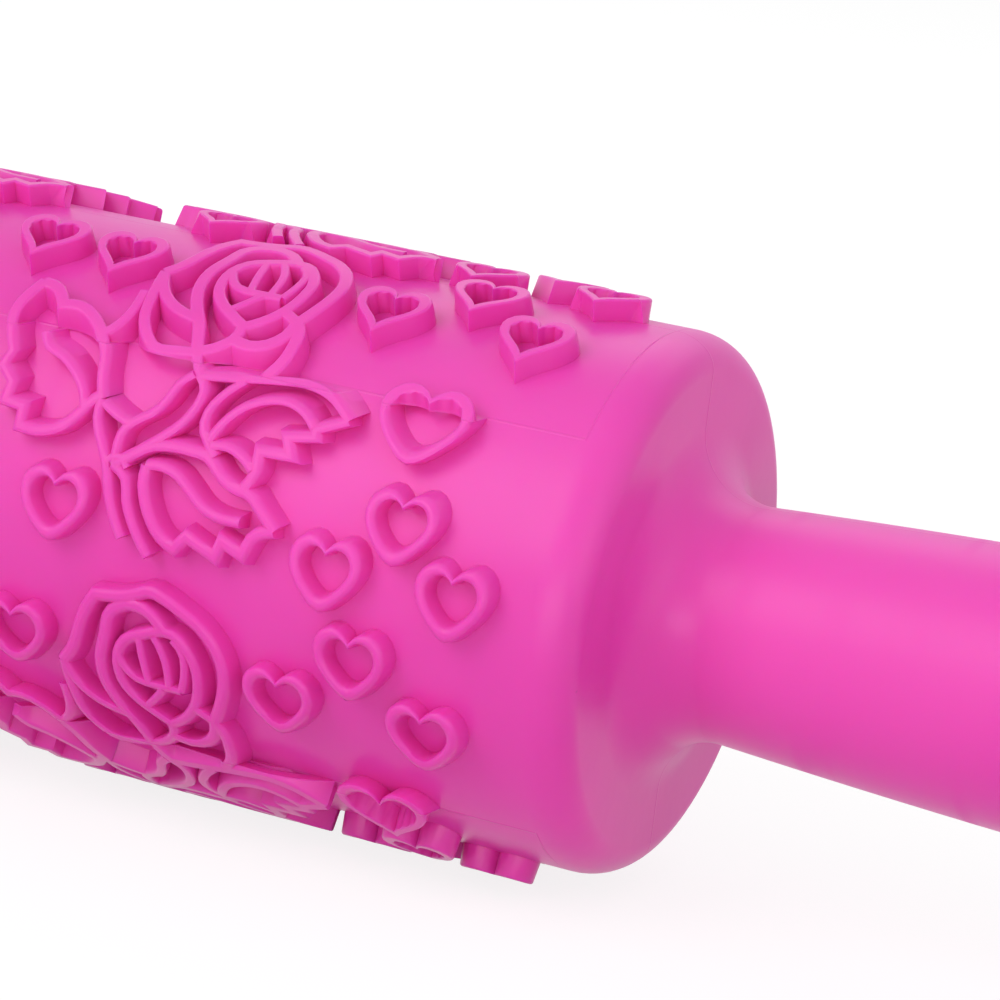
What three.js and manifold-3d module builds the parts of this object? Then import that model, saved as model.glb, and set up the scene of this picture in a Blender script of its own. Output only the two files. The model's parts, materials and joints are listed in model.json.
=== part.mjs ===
// Embossing rolling pin of moulded plastic. A hollow barrel carries a raised line pattern of roses
// and hearts. Its right handle is moulded in one piece with it; the left handle is a moulding of its
// own that closes the barrel's open end, and a small plug closes the hole in the tip of each handle.
// X runs along the pin, Z is up, and the origin is the middle of the pin on its axis.
import * as THREE from 'three';
import { mergeVertices } from 'three/addons/utils/BufferGeometryUtils.js';
import Module from 'manifold-3d';

const wasm = await Module();
wasm.setup();

// Driving dimensions, in millimetres: the barrel
const barrelLength = 121;
const barrelRadius = 24.5;
const wall = 3.2;
const shoulderLength = 3.9;
const shoulderDrop = 3.1;

// The handles, from the barrel's end face to the tip
const handleLength = 82;
const neckRadius = 10.6;
const gripRadius = 13.2;
const gripPeakDistance = 73;
const neckFilletLength = 6.1;
const neckFilletHeight = 6;
const tipRoundLength = 8;
const tipFlatRadius = 6.4;
const gripBore = 6.6;

// The left handle's cap, which plugs into the barrel
const capRimLength = 6;
const spigotLength = 10;
const spigotWall = 2.5;
const fitClearance = 0.3;

// The tip plugs
const plugHeadRadius = 5.2;
const plugHeadThickness = 1.8;
const plugShankRadius = 4;
const plugShankLength = 12;
const plugLeadLength = 1.2;
const plugLeadInset = 0.6;

// The raised pattern and the mould that shapes its ribs
const reliefHeight = 3;
const ribWidth = 1.2;
const ribDraftWidth = 0.4;
const ribSink = 1;
const motifLength = 10;
const heartWidth = 6.3;
const heartHeight = 6;
const lastColumnInset = 39;
const columnPitch = 40;
const columnReach = 33;
const rowPitch = 38.46;
const bloomRowRoom = 18;
const rowCutInset = 9.3;
const firstBloomAngle = THREE.MathUtils.degToRad(39.85);
const sliderSeamAngle = THREE.MathUtils.degToRad(45);
const sliderTilt = THREE.MathUtils.degToRad(22.5);
const seamBlend = THREE.MathUtils.degToRad(6);

// How finely round forms are cut into flats
const sides = 22;
const roundSteps = 3;
const gripSteps = 4;
const creaseDepth = 0.02;
const sheetDepth = 3;
const snap = 0.005;
const joinTolerance = 0.01;
const sharpestMitreShare = 0.45;

// Sizes that follow
const reliefRadius = barrelRadius + reliefHeight;
const footWidth = ribWidth + 2 * ribDraftWidth;
const barrelBore = barrelRadius - wall;
const endFaceX = barrelLength / 2;
const shoulderX = endFaceX - shoulderLength;
const seamX = endFaceX - capRimLength;
const neckX = endFaceX + neckFilletLength;
const tipX = endFaceX + handleLength;
const gripEndX = tipX - tipRoundLength;
const neckBore = neckRadius - wall;
const plugSeatRadius = plugHeadRadius + fitClearance;
const plugSeatDepth = plugHeadThickness + fitClearance;
const tipBore = plugShankRadius + fitClearance;
const tipBoreEndX = tipX - plugSeatDepth - plugShankLength - fitClearance;

const pink = new THREE.MeshStandardMaterial({ color: 0xe84cb4, roughness: 0.38, metalness: 0 });
const plugPink = new THREE.MeshStandardMaterial({ color: 0xe653b6, roughness: 0.42, metalness: 0 });

// The lines of one rose, as points [along the pin, round the pin] in shares of motifLength from the
// middle of its bloom. Round the pin counts towards the ends of the stems.
const bloomShares = [
  // The outer petals, from the bottom of the bloom up its left side, over it and down to the right
  [[0.15, 0.82], [-0.50, 0.87], [-0.80, 0.30], [-0.62, -0.34], [-0.44, -0.66], [0.05, -0.78], [0.55, -0.62],
    [0.82, -0.15], [0.66, 0.48]],
  // The petal round the heart of the bloom
  [[0.24, -0.46], [-0.08, -0.62], [-0.37, -0.35], [-0.37, 0.18], [-0.07, 0.84]],
  // The folds below the heart of the bloom
  [[0.18, 0.49], [0.20, 0.68]],
  [[0.66, 0.34], [0.50, 0.65], [0.20, 0.68], [-0.07, 0.84]],
];
const bloomHeartShares = [[0.24, -0.46], [0.55, -0.22], [0.48, 0.24], [0.18, 0.49], [-0.22, 0.08], [-0.18, -0.27]];
const stemShares = [
  // The right leaf from the stem round to the neck, the left side of the stem, and the middle stem
  [[0.80, 1.99], [0.86, 1.68], [1.16, 1.62], [1.26, 1.38], [1.55, 1.20], [1.22, 0.96], [0.05, 1.08], [-0.26, 1.55],
    [-0.48, 1.90], [0.02, 2.73]],
  // The neck, the petal that hangs on the right leaf, the right side of the stem, the left stem, and
  // the link to the lower leaf
  [[-0.07, 0.84], [0.05, 1.08]],
  [[0.66, 0.34], [0.76, 0.61], [0.62, 1.02]],
  [[0.05, 1.08], [0.14, 1.35], [-0.18, 1.81]],
  [[-0.76, 1.48], [-0.60, 1.92], [-0.26, 2.62]],
  [[-0.48, 1.90], [-0.23, 1.87]],
];
const leafShares = [
  [[-0.20, 1.86], [0.42, 1.77], [1.17, 2.27], [0.66, 2.56], [0.27, 2.58], [-0.10, 2.24]],
  [[-0.76, 1.48], [-1.00, 0.90], [-1.50, 0.64], [-1.81, 0.46], [-1.88, 1.05], [-1.46, 1.86], [-1.08, 1.81]],
];

// The middles of the hearts, in the same shares: beside every bloom and its stems, beyond the last
// column, and before the first. The large heart is beyond the last column.
const besideBloomShares = [[-2.03, -0.15], [-1.30, -0.11]];
const besideStemShares = [[-0.89, 2.35]];
const pastLastBloomShares = [[1.41, -0.11], [2.77, -0.11]];
const pastLastStemShares = [[2.07, -0.61], [2.35, 1.92], [1.75, 2.44], [2.96, 2.44]];
const beforeFirstShares = [[-2.80, 0.60], [-2.75, 2.20]];
const largeHeartShares = [2.30, 1.03];
const largeHeartScale = 1.15;

// One heart's outline in shares of its width and height: its point, a side, the lobes and the cleft
// between them, and the other side
const heartShares = [[0, 0.5], [-0.5, -0.1], [-0.27, -0.5], [0, -0.28], [0.27, -0.5], [0.5, -0.1]];

// A quarter of an ellipse as points [x, radius]. It leaves its start along the pin and reaches its
// end square to the pin, or the other way round.
function quarter(start, end, leavesAlong) {
  return Array.from({ length: roundSteps + 1 }, (_, i) => {
    const turn = (Math.PI / 2) * (i / roundSteps);
    const rising = Math.sin(turn);
    const lagging = 1 - Math.cos(turn);
    const [along, across] = leavesAlong ? [rising, lagging] : [lagging, rising];
    return [start[0] + (end[0] - start[0]) * along, start[1] + (end[1] - start[1]) * across];
  });
}

// The outside of one end of the pin, from the barrel's shoulder to the flat round the tip's hole.
// The grip swells from the neck along a parabola that is widest at gripPeakDistance.
function endOutline() {
  const grip = Array.from({ length: gripSteps + 1 }, (_, i) => {
    const distance = (gripEndX - neckX) * (i / gripSteps);
    const shortOfPeak = 1 - distance / gripPeakDistance;
    return [neckX + distance, gripRadius - (gripRadius - neckRadius) * shortOfPeak ** 2];
  });
  return [
    ...quarter([shoulderX, barrelRadius], [endFaceX, barrelRadius - shoulderDrop], true),
    ...quarter([endFaceX, neckRadius + neckFilletHeight], grip[0], false),
    ...grip.slice(1),
    ...quarter(grip[gripSteps], [tipX, tipFlatRadius], true).slice(1),
  ];
}

// The inside of one end, from the plug's seat in the tip back to the barrel's end wall
function endBore() {
  return [
    [tipX, plugSeatRadius],
    [tipX - plugSeatDepth, plugSeatRadius],
    [tipX - plugSeatDepth, tipBore],
    [tipBoreEndX, tipBore],
    [tipBoreEndX, gripBore],
    ...quarter([neckX, neckBore], [endFaceX - wall, neckBore + neckFilletHeight], true),
  ];
}

// A solid turned about the pin's axis from a closed outline of points [x, radius]
function turned(outline, startAngle) {
  const points = [...outline, outline[0]].map(([x, radius]) => new THREE.Vector2(radius, x));
  const geometry = new THREE.LatheGeometry(points, sides, startAngle - Math.PI / 2);
  return geometry.rotateZ(-Math.PI / 2);
}

// The mould has six parts: a front and a back half, and between them two sliders on top and two
// below. Each leaves in one direction, so the sides of its ribs run that way, and the foot of a rib
// lies straight behind its top. The angles of tops and feet are paired here from the middle of a
// half up to the top of the barrel. Next to the seams they pass from one direction to the other.
const sliderPull = Math.PI / 2 - sliderTilt;
const halfReach = Math.asin((barrelRadius / reliefRadius) * Math.sin(sliderSeamAngle));
const leanAngles = [
  topAndFoot(0, 0),
  topAndFoot(halfReach / 2, 0),
  topAndFoot(halfReach - seamBlend, 0),
  topAndFoot(halfReach + seamBlend, sliderPull),
  topAndFoot(sliderPull, sliderPull),
  topAndFoot(Math.PI / 2 - seamBlend, sliderPull),
  { top: Math.PI / 2, foot: Math.PI / 2 },
];

function topAndFoot(top, pull) {
  return { top, foot: pull + Math.asin((reliefRadius / barrelRadius) * Math.sin(top - pull)) };
}

// The angle of a rib's foot from that of its top, or of its top from that of its foot
function leaned(angle, from, to) {
  const half = Math.round(angle / Math.PI) * Math.PI;
  const fromHalf = Math.abs(angle - half);
  const next = Math.max(leanAngles.findIndex((pair) => fromHalf <= pair[from]), 1);
  const [low, high] = [leanAngles[next - 1], leanAngles[next]];
  const share = (fromHalf - low[from]) / (high[from] - low[from]);
  return half + Math.sign(angle - half) * (low[to] + (high[to] - low[to]) * share);
}

// How many columns and rows of roses the barrel has room for, and where they start. The row of
// blooms comes after the whole rows, and the unrolled barrel is cut just before it.
const lastColumnX = endFaceX - lastColumnInset;
const columnCount = 1 + Math.floor((lastColumnX + seamX - columnReach) / columnPitch);
const turnArc = 2 * Math.PI * reliefRadius;
const rowCount = Math.floor(turnArc / rowPitch);
const firstBloomArc = firstBloomAngle * reliefRadius;
const bloomRowArc = firstBloomArc + rowCount * rowPitch - turnArc;
const firstAngle = leaned((bloomRowArc - rowCutInset) / reliefRadius, 'top', 'foot');

// The flats round the barrel: the angle of each edge, and where it lies on the unrolled barrel
const stations = Array.from({ length: sides + 1 }, (_, i) => {
  const turn = ((i % sides) / sides) * 2 * Math.PI;
  const wholeTurn = i === sides ? 2 * Math.PI : 0;
  const angle = firstAngle + turn;
  return { angle, arc: leaned(angle + wholeTurn, 'foot', 'top') * reliefRadius };
});

function heartLine([middleX, middleArc], scale) {
  return heartShares.map(([x, arc]) => [
    middleX + x * heartWidth * scale, middleArc + arc * heartHeight * scale,
  ]);
}

// The whole pattern as lines of points [x, arc], the arc measured on the ribs' tops. Where the
// whole rows leave enough room, a row of blooms fills it.
function patternLines() {
  const open = [];
  const closed = [];
  const bloomRows = turnArc - rowCount * rowPitch > bloomRowRoom ? 1 : 0;
  for (let row = 0; row < rowCount + bloomRows; row++) {
    const whole = row < rowCount;
    const rowArc = whole ? firstBloomArc + row * rowPitch : bloomRowArc;
    for (let column = 0; column < columnCount; column++) {
      const middleX = lastColumnX - column * columnPitch;
      const placed = ([x, arc]) => [middleX + x * motifLength, rowArc + arc * motifLength];
      open.push(...[...bloomShares, ...(whole ? stemShares : [])].map((line) => line.map(placed)));
      closed.push(...[bloomHeartShares, ...(whole ? leafShares : [])].map((line) => line.map(placed)));
      const last = column === 0;
      const first = column === columnCount - 1;
      const hearts = [
        ...besideBloomShares,
        ...(whole ? besideStemShares : []),
        ...(last ? pastLastBloomShares : []),
        ...(last && whole ? pastLastStemShares : []),
        ...(first && whole ? beforeFirstShares : []),
      ];
      closed.push(...hearts.map((middle) => heartLine(placed(middle), 1)));
      if (last && whole) {
        closed.push(heartLine(placed(largeHeartShares), largeHeartScale));
      }
    }
  }
  return { open, closed };
}

// A line's mitre at each point: the step to its left edge where the edge is at a distance of one
function mitres(line, closed) {
  const last = line.length - 1;
  return line.map((point, i) => {
    const before = line[i === 0 && closed ? last : Math.max(i - 1, 0)];
    const after = line[i === last && closed ? 0 : Math.min(i + 1, last)];
    const normals = [[before, point], [point, after]]
      .map(([from, to]) => new THREE.Vector2(from[1] - to[1], to[0] - from[0]).normalize())
      .filter((normal) => normal.lengthSq() > 0);
    const middle = normals.reduce((sum, normal) => sum.clone().add(normal)).normalize();
    return middle.divideScalar(Math.max(middle.dot(normals[0]), sharpestMitreShare));
  });
}

// A solid drawn out along rings of four points. It is closed at its ends, or runs back into itself.
function drawnOut(rings, closed) {
  const corners = rings[0].length;
  const index = [];
  const spans = closed ? rings.length : rings.length - 1;
  for (let i = 0; i < spans; i++) {
    const here = i * corners;
    const next = ((i + 1) % rings.length) * corners;
    for (let c = 0; c < corners; c++) {
      const d = (c + 1) % corners;
      index.push(here + c, here + d, next + d, here + c, next + d, next + c);
    }
  }
  if (!closed) {
    const end = spans * corners;
    index.push(2, 1, 0, 3, 2, 0, end, end + 1, end + 2, end, end + 2, end + 3);
  }
  const vertProperties = new Float32Array(rings.flat(2));
  const triVerts = new Uint32Array(index);
  return new wasm.Manifold(new wasm.Mesh({ numProp: 3, vertProperties, triVerts, tolerance: joinTolerance }));
}

// A rib of the flat pattern: a band along a line with a flat top, and sides that widen downwards by
// the draft and end inside the sheet
function rib(line, closed) {
  const steps = mitres(line, closed);
  const edges = [
    [ribWidth / 2, reliefHeight], [-ribWidth / 2, reliefHeight], [-footWidth / 2, -ribSink], [footWidth / 2, -ribSink],
  ];
  const rings = line.map(([x, arc], i) => edges.map(([across, height]) => [
    x + steps[i].x * across, arc + steps[i].y * across, height,
  ]));
  return drawnOut(rings, closed);
}

// The barrel's outside, unrolled: a sheet with all the ribs joined on it. Every other station is a
// hair lower, which creases the sheet so that each of the barrel's flats stays a face of its own.
function flatPattern() {
  const rings = stations.map(({ arc }, i) => {
    const height = i % 2 === 0 ? 0 : -creaseDepth;
    return [[-seamX, arc, height], [shoulderX, arc, height], [shoulderX, arc, -sheetDepth], [-seamX, arc, -sheetDepth]];
  });
  const { open, closed } = patternLines();
  const ribs = [...open.map((line) => rib(line, false)), ...closed.map((line) => rib(line, true))];
  return wasm.Manifold.union([drawnOut(rings, false), ...ribs]).getMesh();
}

function roundPoint([x, radius], angle) {
  return [x, radius * Math.cos(angle), radius * Math.sin(angle)];
}

// A point of the flat pattern on the barrel. Points on the sheet's stations and edges get the very
// numbers that the turned surface beside them has.
function wrapped([x, arc, height]) {
  if (height > reliefHeight / 4) {
    const topAngle = arc / reliefRadius;
    const top = roundPoint([x, reliefRadius], topAngle);
    const foot = roundPoint([x, barrelRadius], leaned(topAngle, 'top', 'foot'));
    return foot.map((value, i) => value + (top[i] - value) * (height / reliefHeight));
  }
  const station = stations.find((each) => Math.abs(each.arc - arc) < snap);
  const edgeX = [-seamX, shoulderX].find((edge) => Math.abs(edge - x) < snap);
  const angle = station ? station.angle : leaned(arc / reliefRadius, 'top', 'foot');
  return roundPoint([edgeX ?? x, barrelRadius], angle);
}

// The sheet's upper surface on the barrel, as triangles. Its underside and its edges are left out.
function patternedSurface() {
  const { vertProperties, triVerts } = flatPattern();
  const ends = [[0, -seamX], [0, shoulderX], [1, stations[0].arc], [1, stations[sides].arc]];
  const triangles = [];
  for (let i = 0; i < triVerts.length; i += 3) {
    const corners = Array.from(triVerts.slice(i, i + 3), (v) => Array.from(vertProperties.slice(3 * v, 3 * v + 3)));
    const atEnd = ends.some(([axis, end]) => corners.every((corner) => Math.abs(corner[axis] - end) < snap));
    const below = corners.some(([, , height]) => height < -2 * creaseDepth);
    if (!atEnd && !below) {
      triangles.push(corners.reverse().map(wrapped));
    }
  }
  return triangles;
}

// The barrel with its pattern, its right shoulder and the handle moulded with it. The rest of it is
// turned, from the shoulder round the handle and back through the bore to the barrel's open end.
function rollerBody() {
  const outline = [
    ...endOutline(), ...endBore(), [endFaceX - wall, barrelBore], [-seamX, barrelBore], [-seamX, barrelRadius],
  ];
  const triangles = patternedSurface();
  for (let i = 1; i < outline.length; i++) {
    for (let side = 0; side < sides; side++) {
      const [a, b, c, d] = [[i - 1, side], [i, side], [i, side + 1], [i - 1, side + 1]]
        .map(([ring, station]) => roundPoint(outline[ring], stations[station].angle));
      triangles.push([a, c, b], [a, d, c]);
    }
  }
  const geometry = new THREE.BufferGeometry();
  geometry.setAttribute('position', new THREE.Float32BufferAttribute(triangles.flat(2), 3));
  return mergeVertices(geometry);
}

// The left handle: a shoulder and grip like the right one, with a rim that meets the barrel's end
// and a spigot that fits its bore
function leftHandle() {
  const spigotRadius = barrelBore - fitClearance;
  const spigotBore = spigotRadius - spigotWall;
  const spigotEndX = seamX - spigotLength;
  const rimX = seamX + fitClearance;
  return turned([
    [rimX, barrelRadius], ...endOutline(), ...endBore(), [endFaceX - wall, spigotBore],
    [spigotEndX, spigotBore], [spigotEndX, spigotRadius], [rimX, spigotRadius],
  ], Math.PI - firstAngle);
}

// A push-in plug: a disc flush with the tip, and a shank with a lead-in
function tipPlug() {
  const headX = tipX - plugHeadThickness;
  const shankEndX = headX - plugShankLength;
  return turned([
    [tipX, 0], [shankEndX, 0], [shankEndX, plugShankRadius - plugLeadInset],
    [shankEndX + plugLeadLength, plugShankRadius], [headX, plugShankRadius], [headX, plugHeadRadius],
    [tipX, plugHeadRadius],
  ], firstAngle);
}

function piece(name, geometry, material, onLeft) {
  const mesh = new THREE.Mesh(geometry, material);
  mesh.name = name;
  mesh.rotation.z = onLeft ? Math.PI : 0;
  return mesh;
}

const pin = new THREE.Group();
pin.add(piece('roller_body', rollerBody(), pink, false));
pin.add(piece('left_handle', leftHandle(), pink, true));
pin.add(piece('right_handle_plug', tipPlug(), plugPink, false));
pin.add(piece('left_handle_plug', tipPlug(), plugPink, true));

export default pin;
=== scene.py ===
# %% [markdown]
# # A moulded rolling pin with raised roses and hearts
# The pin lies on a pale floor. Its barrel carries a pattern of thin ribs that presses lines into
# icing or dough. This lesson loads the plain CAD model, keeps its size, and builds finer pieces
# around it: first the ribs as flat bands, then their wrap round the barrel, then the body, the left
# handle and the plugs, and at the end the plastic, the lamps and the camera.

# %% Load the frame
import bpy
import json
import numpy as np
from mathutils import Matrix, Vector

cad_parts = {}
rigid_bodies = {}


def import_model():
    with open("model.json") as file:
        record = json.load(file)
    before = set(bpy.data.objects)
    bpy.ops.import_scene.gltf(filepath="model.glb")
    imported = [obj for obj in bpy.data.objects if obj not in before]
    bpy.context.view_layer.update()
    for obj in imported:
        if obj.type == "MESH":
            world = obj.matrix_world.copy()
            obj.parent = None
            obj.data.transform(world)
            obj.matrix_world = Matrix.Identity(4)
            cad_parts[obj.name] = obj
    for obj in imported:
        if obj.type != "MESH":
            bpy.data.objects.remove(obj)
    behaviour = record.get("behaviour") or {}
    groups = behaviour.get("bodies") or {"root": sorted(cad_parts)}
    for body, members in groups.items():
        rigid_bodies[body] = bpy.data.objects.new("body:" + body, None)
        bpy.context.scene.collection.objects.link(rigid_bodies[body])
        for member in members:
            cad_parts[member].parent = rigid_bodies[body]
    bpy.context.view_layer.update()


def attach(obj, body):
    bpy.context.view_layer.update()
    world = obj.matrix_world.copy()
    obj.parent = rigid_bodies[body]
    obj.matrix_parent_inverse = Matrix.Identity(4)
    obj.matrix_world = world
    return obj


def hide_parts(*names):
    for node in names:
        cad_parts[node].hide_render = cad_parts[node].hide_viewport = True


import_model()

# %% [markdown]
# ## Sizes
# All lengths are in millimetres here, because thin plastic is easier to think about that way, and
# each mesh is scaled to metres at the moment it is made. X runs along the pin, Z is up, and angles
# round the pin start at +Y and go over the top, so 90 degrees is the top and 180 the front.

# %% Sizes in millimetres
MM = 0.001
RELIEF_RADIUS = 27.49
RELIEF = 2.13
BARREL_RADIUS = RELIEF_RADIUS - RELIEF
BORE_RADIUS = 21.3
END_FACE_X = 60.5
SHOULDER_LENGTH = 4.04
SHOULDER_DROP = 3.21
SHOULDER_X = END_FACE_X - SHOULDER_LENGTH
SEAM_X = 54.5
NECK_RADIUS = 10.97
NECK_FILLET_LENGTH = 6.31
NECK_FILLET_HEIGHT = 6.21
NECK_X = END_FACE_X + NECK_FILLET_LENGTH
GRIP_RADIUS = 13.66
GRIP_PEAK = 75.6
TIP_X = END_FACE_X + 82.0
TIP_ROUND = 8.0
TIP_FLAT_RADIUS = 6.4
NECK_WALL = 3.2
UNIT = 10.35
print(f"The pin is {2 * TIP_X:.0f} mm long and {2 * RELIEF_RADIUS:.0f} mm across its ribs")

# %% [markdown]
# ## A mesh from arrays
# A mesh is an array of points and an array of faces. Turning the arrays into an object takes the
# same few lines each time, so they go into one function. Filling whole arrays at once is much
# faster than adding points one by one.

# %% Making a mesh
def add_mesh(name, points, faces, scale=1.0):
    """An object whose mesh has these points, times scale, and these faces (rows of equal length)."""
    mesh = bpy.data.meshes.new(name)
    points = np.asarray(points, dtype=np.float32) * scale
    faces = np.asarray(faces, dtype=np.int32)
    corners = faces.shape[1]
    mesh.vertices.add(len(points))
    mesh.vertices.foreach_set("co", points.ravel())
    mesh.loops.add(faces.size)
    mesh.loops.foreach_set("vertex_index", faces.ravel())
    mesh.polygons.add(len(faces))
    mesh.polygons.foreach_set("loop_start", np.arange(len(faces), dtype=np.int32) * corners)
    mesh.update(calc_edges=True)
    piece = bpy.data.objects.new(name, mesh)
    bpy.context.scene.collection.objects.link(piece)
    return piece


print("Meshes so far:", len(bpy.data.meshes))

# %% [markdown]
# ## The lines of a rose
# Each rib follows a line drawn on the unrolled barrel. A line is a short list of points
# (along the pin, round the pin), measured from the middle of the bloom in UNITs, and a bloom is
# about one and a half of them wide. The numbers after the points say which of them are sharp
# corners. Between corners a smooth curve goes through the points, so a few points are enough, and
# the line is easy to change by hand.

# %% Lines of one bloom: points, sharp corners, width of the rib's top
BLOOM_WIDTH = 1.25
INNER_WIDTH = 1.12
BASKET_WIDTH = 0.9
STAMEN_WIDTH = 0.8
bloom_lines = {
    "outer": ([(-0.8, 0.06), (-0.68, -0.12), (-0.62, -0.3), (-0.55, -0.49), (-0.44, -0.68),
        (-0.26, -0.7), (-0.04, -0.76), (0.1, -0.82), (0.22, -0.79), (0.4, -0.71), (0.6, -0.6),
        (0.73, -0.47), (0.82, -0.27), (0.82, -0.06), (0.76, 0.16), (0.68, 0.35)], [4], BLOOM_WIDTH),
    "right skirt": ([(0.68, 0.35), (0.75, 0.46), (0.77, 0.63), (0.75, 0.81), (0.66, 0.99)], [],
        BLOOM_WIDTH),
    "right petal": ([(0.68, 0.35), (0.65, 0.52), (0.51, 0.67), (0.37, 0.71), (0.2, 0.67)], [],
        BLOOM_WIDTH),
    "left petal": ([(0.24, -0.48), (0.13, -0.6), (-0.01, -0.66), (-0.16, -0.64), (-0.29, -0.54),
        (-0.35, -0.31), (-0.41, -0.07), (-0.39, 0.19), (-0.29, 0.41), (-0.18, 0.58), (-0.09, 0.79),
        (-0.06, 0.88)], [], BLOOM_WIDTH),
    "heart, left": ([(0.24, -0.48), (0.02, -0.4), (-0.13, -0.32), (-0.22, -0.18), (-0.24, -0.01),
        (-0.19, 0.18), (-0.08, 0.31), (0.06, 0.41), (0.22, 0.51), (0.22, 0.64), (0.12, 0.77),
        (-0.05, 0.87)], [8], INNER_WIDTH),
    "heart, right": ([(0.24, -0.48), (0.38, -0.45), (0.48, -0.34), (0.55, -0.2), (0.56, 0.01),
        (0.5, 0.23), (0.4, 0.38), (0.21, 0.53)], [], INNER_WIDTH),
    "link": ([(0.51, 0.25), (0.68, 0.35)], [], INNER_WIDTH),
    "first stamen": ([(0.0, -0.37), (0.02, -0.21), (0.07, 0.08)], [], STAMEN_WIDTH),
    "second stamen": ([(0.15, -0.41), (0.24, -0.24), (0.27, 0.07)], [], STAMEN_WIDTH),
    "third stamen": ([(0.34, -0.42), (0.43, -0.31), (0.44, -0.12), (0.39, 0.09)], [], STAMEN_WIDTH),
    "basket": ([(-0.22, -0.14), (-0.15, -0.01), (-0.05, 0.07), (0.09, 0.09), (0.27, 0.09),
        (0.39, 0.09)], [], BASKET_WIDTH),
    "basket stem": ([(0.21, 0.11), (0.13, 0.22), (0.01, 0.36)], [], STAMEN_WIDTH),
    "upper fold": ([(-0.8, 0.06), (-0.74, 0.2), (-0.64, 0.34), (-0.47, 0.46), (-0.33, 0.51),
        (-0.19, 0.54)], [], INNER_WIDTH),
    "lower fold": ([(-0.8, 0.06), (-0.76, 0.37), (-0.7, 0.64), (-0.57, 0.83), (-0.48, 0.91),
        (-0.24, 0.91), (-0.06, 0.88)], [], INNER_WIDTH),
}
print(len(bloom_lines), "lines in a bloom")

# %% [markdown]
# ## Stems and leaves
# Below each bloom hang two stems and three leaves. They are drawn from the same middle and in the
# same way. A leaf has a smooth upper line, an edge with several sharp corners and a vein.

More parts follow.
